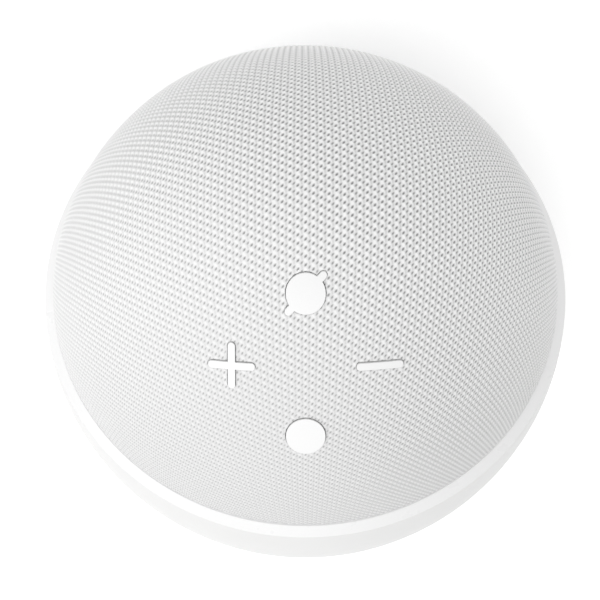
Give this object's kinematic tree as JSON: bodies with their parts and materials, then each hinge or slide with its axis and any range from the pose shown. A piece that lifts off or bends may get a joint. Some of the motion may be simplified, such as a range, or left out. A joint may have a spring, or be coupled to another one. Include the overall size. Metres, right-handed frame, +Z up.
{
  "type": "smart speaker",
  "caption": "Ball-shaped smart speaker with a tilted fabric dome, smooth plastic rear shell, top button cluster, light ring, rear sockets and flat rubber foot.",
  "frame": {"origin": "centre of the rubber foot's underside", "axes": "+Z up, -Y towards the front where the fabric dome faces, +X to the right of a user who looks at the front"},
  "size_m": [0.1, 0.0985, 0.0885],
  "materials": {
    "shell_plastic": "smooth white moulded plastic, fine satin",
    "cover_fabric": "tight knitted mesh",
    "carrier_plastic": "moulded, unpainted",
    "button_plastic": "smooth satin",
    "light_diffuser": "milky translucent",
    "foot_rubber": "matt moulded rubber",
    "base_plastic": "moulded, satin",
    "screw_steel": "zinc plated",
    "circuit_board": "solder mask",
    "socket_plastic": "black moulded",
    "contact_metal": "nickel plated",
    "chip_plastic": "moulded package",
    "led_plastic": "clear lens",
    "shield_metal": "tin plated",
    "heat_metal": "bare extruded",
    "pad_silicone": "soft",
    "enclosure_plastic": "black moulded",
    "gasket_foam": "closed-cell foam",
    "basket_steel": "black",
    "magnet_ferrite": "sintered",
    "yoke_steel": "zinc plated",
    "cone_paper": "coated pulp",
    "surround_rubber": "moulded",
    "spider_cloth": "impregnated",
    "coil_copper": "enamelled copper wire",
    "wire_sheath": "insulation",
    "flex_film": "film",
    "seal_silicone": "soft"
  },
  "bodies": {
    "casing": {"rear_shell": "shell_plastic", "grille_dome": "carrier_plastic", "fabric_cover": "cover_fabric", "light_ring": "light_diffuser", "base_plate": "base_plastic", "rubber_foot": "foot_rubber", "base_screws": "screw_steel", "enclosure_screws": "screw_steel", "light_board": "circuit_board", "light_leds": "led_plastic", "port_board": "circuit_board", "port_board_screws": "screw_steel", "power_jack": "socket_plastic", "power_jack_sleeve": "contact_metal", "power_jack_pin": "contact_metal", "audio_jack": "socket_plastic", "audio_jack_contacts": "contact_metal", "main_board": "circuit_board", "main_board_screws": "screw_steel", "processor": "chip_plastic", "memory_chips": "chip_plastic", "processor_shield": "shield_metal", "thermal_pad": "pad_silicone", "heat_spreader": "heat_metal", "wireless_module": "shield_metal", "amplifier_chip": "chip_plastic", "board_connectors": "socket_plastic", "enclosure_rear": "enclosure_plastic", "enclosure_front": "enclosure_plastic", "speaker_gasket": "gasket_foam", "speaker_basket": "basket_steel", "speaker_screws": "screw_steel", "speaker_front_plate": "yoke_steel", "speaker_magnet": "magnet_ferrite", "speaker_yoke": "yoke_steel", "cone_surround": "surround_rubber", "cone_spider": "spider_cloth", "switch_board": "circuit_board", "switch_board_screws": "screw_steel", "microphones": "shield_metal", "microphone_seals": "seal_silicone", "switch_bodies": "socket_plastic", "speaker_wires": "wire_sheath", "switch_flex": "flex_film"},
    "action_button": {"button_action": "button_plastic", "switch_plunger_action": "socket_plastic"},
    "microphone_button": {"button_microphone": "button_plastic", "switch_plunger_microphone": "socket_plastic"},
    "volume_up_button": {"button_volume_up": "button_plastic", "switch_plunger_volume_up": "socket_plastic"},
    "volume_down_button": {"button_volume_down": "button_plastic", "switch_plunger_volume_down": "socket_plastic"},
    "cone": {"speaker_cone": "cone_paper", "dust_cap": "cone_paper", "voice_coil": "coil_copper"}
  },
  "joints": [
    {"name": "press_action", "type": "slide", "parent": "casing", "child": "action_button", "axis": [0, 0, -1], "range_m": [0, 0.0005], "stiffness_N_per_m": 2400, "springref_m": -0.0002},
    {"name": "press_microphone", "type": "slide", "parent": "casing", "child": "microphone_button", "axis": [0, 0, -1], "range_m": [0, 0.0005], "stiffness_N_per_m": 2400, "springref_m": -0.0002},
    {"name": "press_volume_up", "type": "slide", "parent": "casing", "child": "volume_up_button", "axis": [0, 0, -1], "range_m": [0, 0.0005], "stiffness_N_per_m": 2400, "springref_m": -0.0002},
    {"name": "press_volume_down", "type": "slide", "parent": "casing", "child": "volume_down_button", "axis": [0, 0, -1], "range_m": [0, 0.0005], "stiffness_N_per_m": 2400, "springref_m": -0.0002},
    {"name": "cone_travel", "type": "slide", "parent": "casing", "child": "cone", "axis": [0, -1, 0], "range_m": [-0.0012, 0.0012], "stiffness_N_per_m": 1500, "deforming": ["cone_surround", "cone_spider"]}
  ]
}
